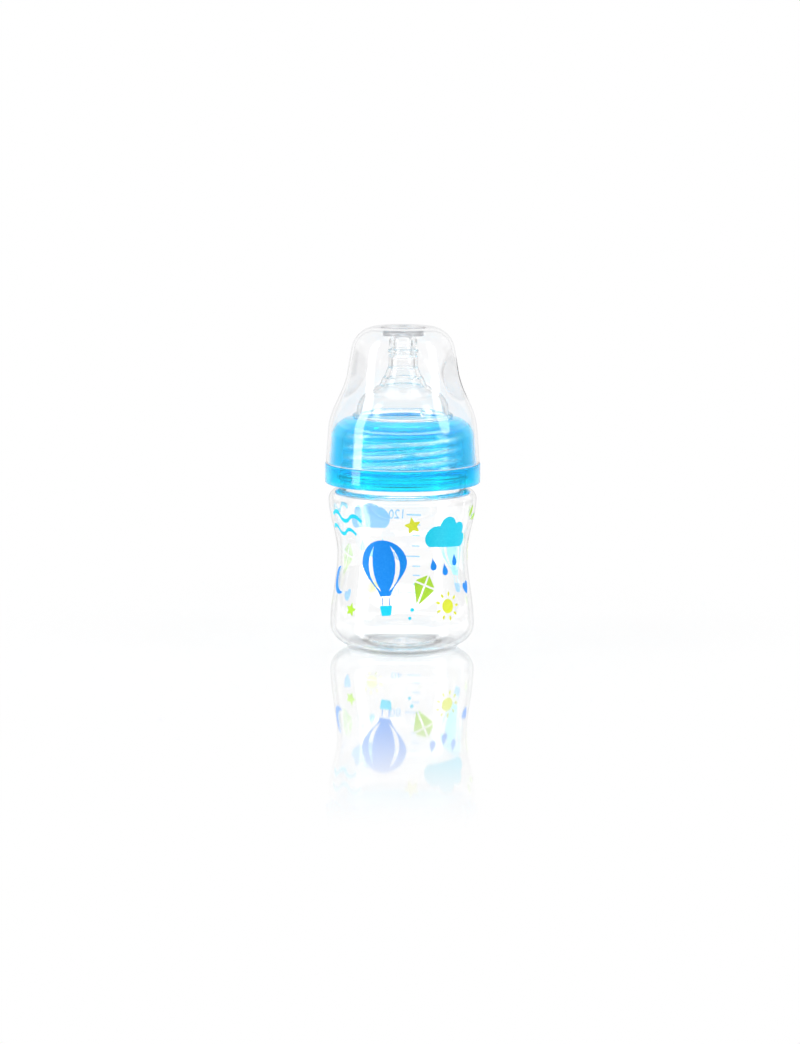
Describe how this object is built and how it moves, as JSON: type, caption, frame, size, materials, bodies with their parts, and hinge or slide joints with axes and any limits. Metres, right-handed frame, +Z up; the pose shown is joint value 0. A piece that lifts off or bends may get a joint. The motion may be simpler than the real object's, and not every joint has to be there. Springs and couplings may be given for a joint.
{
  "type": "baby bottle",
  "caption": "Wide-neck baby bottle with a waisted clear container, stepped silicone teat, screw ring and bell-shaped clear dust cap with thumb scoops.",
  "frame": {"origin": "centre of the container's standing rim, on the surface that the bottle stands on", "axes": "+Z up along the bottle's axis, towards the teat; +X to the right and -Y towards the viewer of the printed front; the cap's two thumb scoops face along a line 22 degrees off the X axis"},
  "size_m": [0.066, 0.066, 0.137],
  "materials": {
    "clear_container": "clear moulded polypropylene, glossy, with screen-printed colours and a printed scale",
    "silicone": "clear moulded silicone, soft gloss",
    "blue_ring": "transparent sky-blue moulded polypropylene, high gloss",
    "clear_cap": "clear moulded polypropylene, high gloss"
  },
  "bodies": {
    "container": {"bottle_body": "clear_container"},
    "teat": {"teat": "silicone"},
    "ring": {"screw_ring": "blue_ring"},
    "cap": {"dust_cap": "clear_cap"}
  },
  "joints": [
    {"name": "teat_rise", "type": "slide", "parent": "container", "child": "teat", "axis": [0, 0, 1], "range_m": [0, 0.0135]},
    {"name": "ring_turn", "type": "hinge", "parent": "teat", "child": "ring", "pos_m": [0, 0, 0.085], "axis": [0, 0, 1], "range_deg": [0, 360]},
    {"name": "cap_lift", "type": "slide", "parent": "ring", "child": "cap", "axis": [0, 0, 1], "range_m": [0, 0.065]}
  ],
  "couplings": [
    {"joint": "teat_rise", "follows": "ring_turn", "m_per_rad": 0.0021486}
  ]
}
